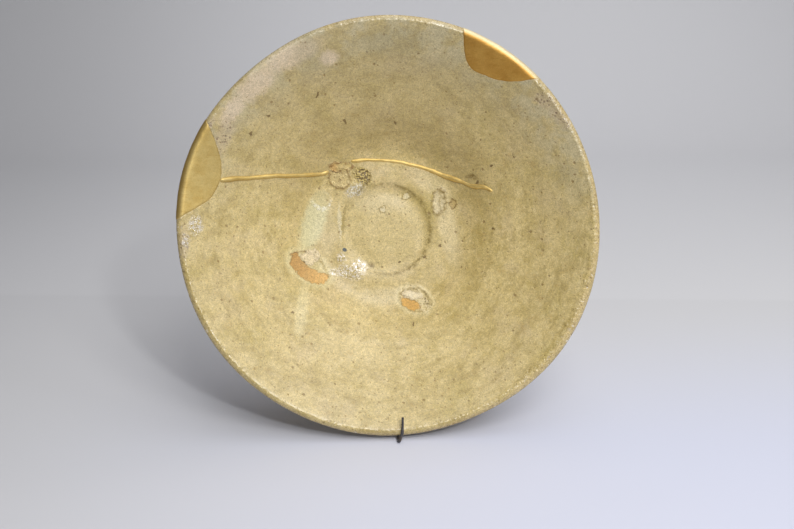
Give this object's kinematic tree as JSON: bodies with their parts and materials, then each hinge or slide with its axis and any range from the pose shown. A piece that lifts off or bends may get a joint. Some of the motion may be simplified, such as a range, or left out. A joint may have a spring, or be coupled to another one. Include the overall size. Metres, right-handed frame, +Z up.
{
  "type": "kintsugi bowl",
  "caption": "Shallow glazed stoneware bowl with gold-lacquer repairs at the rim and across the inside, leaning back on a small bent-wire stand.",
  "frame": {"origin": "on the floor under the stand, in the middle of the part's footprint", "axes": "+Z up; the mouth of the bowl faces -Y and leans back 16 degrees; +X to the right as one looks into the bowl"},
  "size_m": [0.1702, 0.0916, 0.1638],
  "materials": {
    "glaze": "satin",
    "gold": "satin",
    "wire": "satin"
  },
  "bodies": {
    "root": {"bowl": "glaze", "gold_fill_left": "gold", "gold_fill_right": "gold", "gold_seam_left": "gold", "gold_seam_right": "gold", "stand_spine": "wire", "stand_cross_leg": "wire", "stand_back_rest": "wire"}
  },
  "joints": []
}
